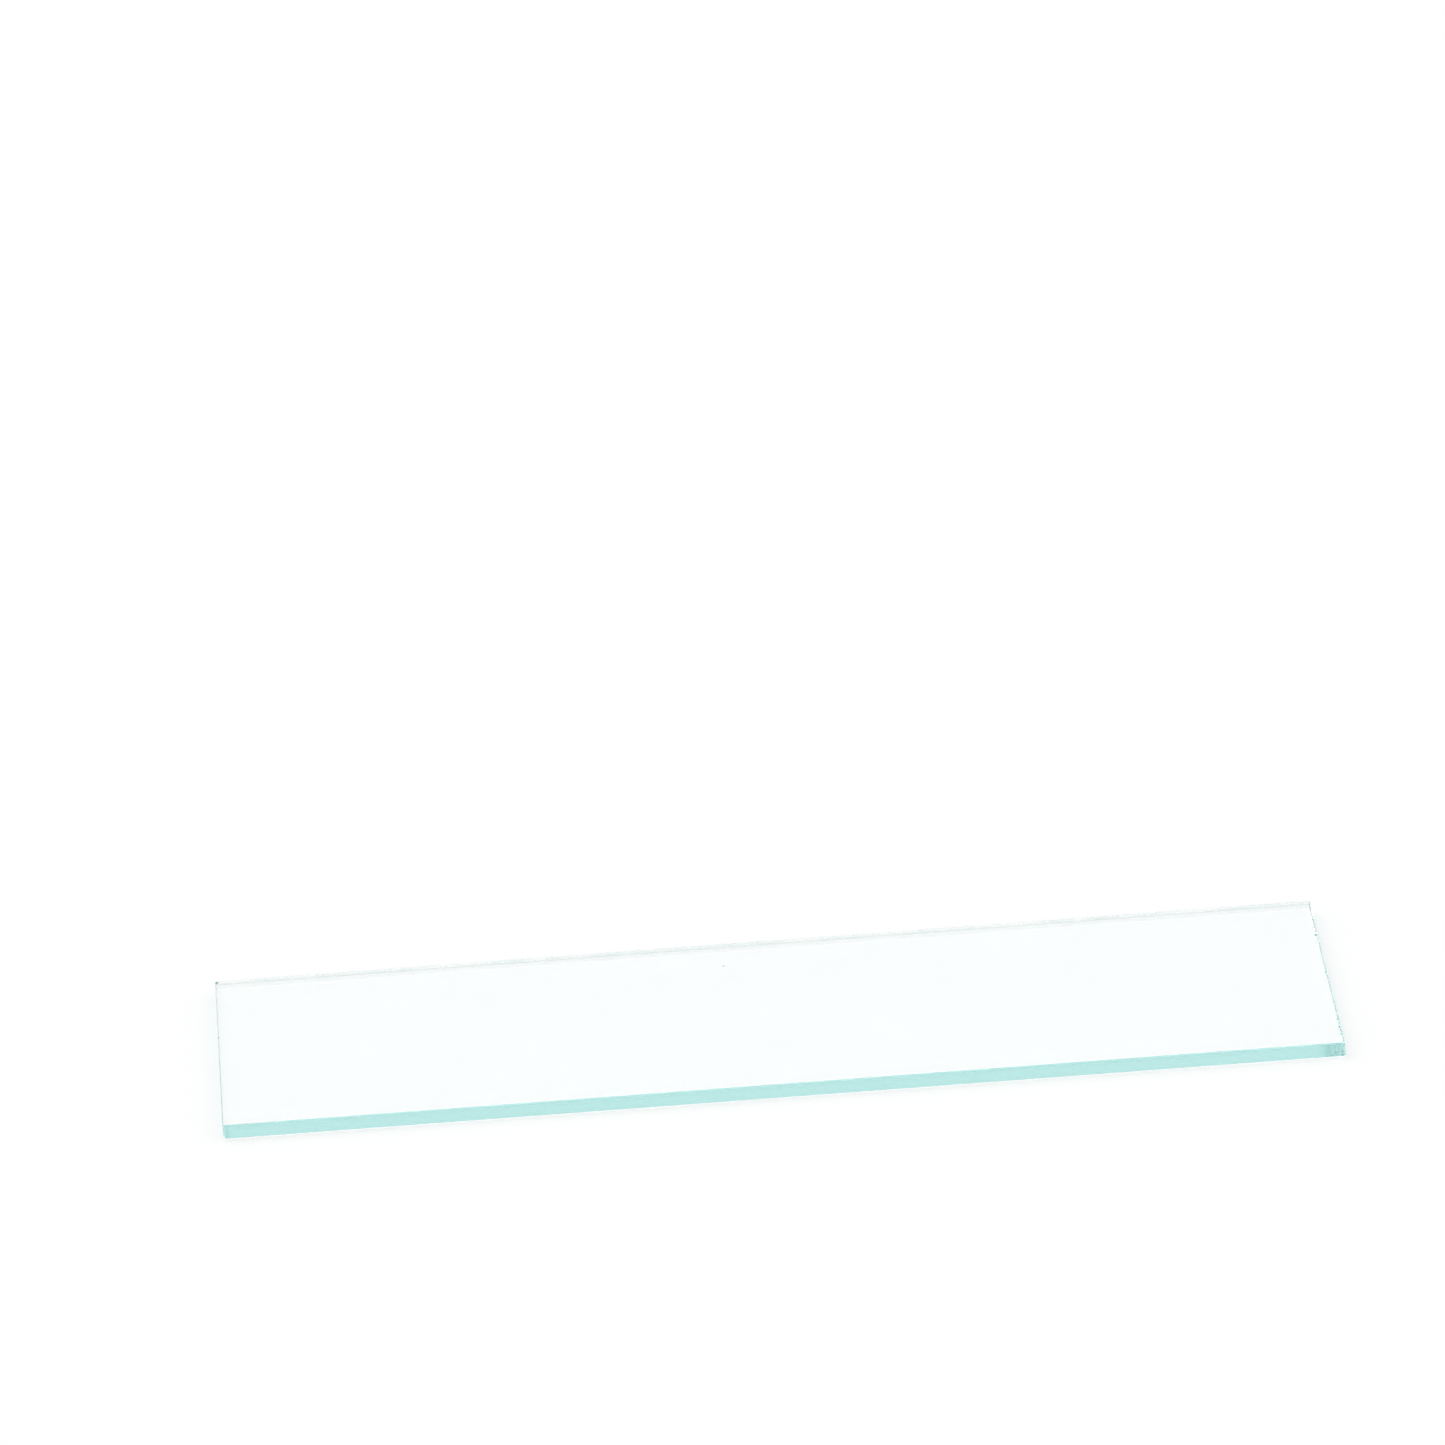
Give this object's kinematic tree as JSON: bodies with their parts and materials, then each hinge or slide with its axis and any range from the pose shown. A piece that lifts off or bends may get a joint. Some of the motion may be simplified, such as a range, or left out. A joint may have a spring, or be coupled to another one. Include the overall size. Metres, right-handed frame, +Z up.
{
  "type": "microscope slide",
  "caption": "Plain rectangular microscope slide of clear glass with a faint green-blue tint and ground, lightly chipped edges.",
  "frame": {"origin": "middle of the polished face that the slide lies on", "axes": "+X along the slide's length, +Y across its width, +Z up through its thickness"},
  "size_m": [0.0762, 0.0254, 0.001],
  "materials": {
    "slide_glass": "clear polished faces, matt ground edges"
  },
  "bodies": {
    "root": {"glass_slide": "slide_glass"}
  },
  "joints": []
}
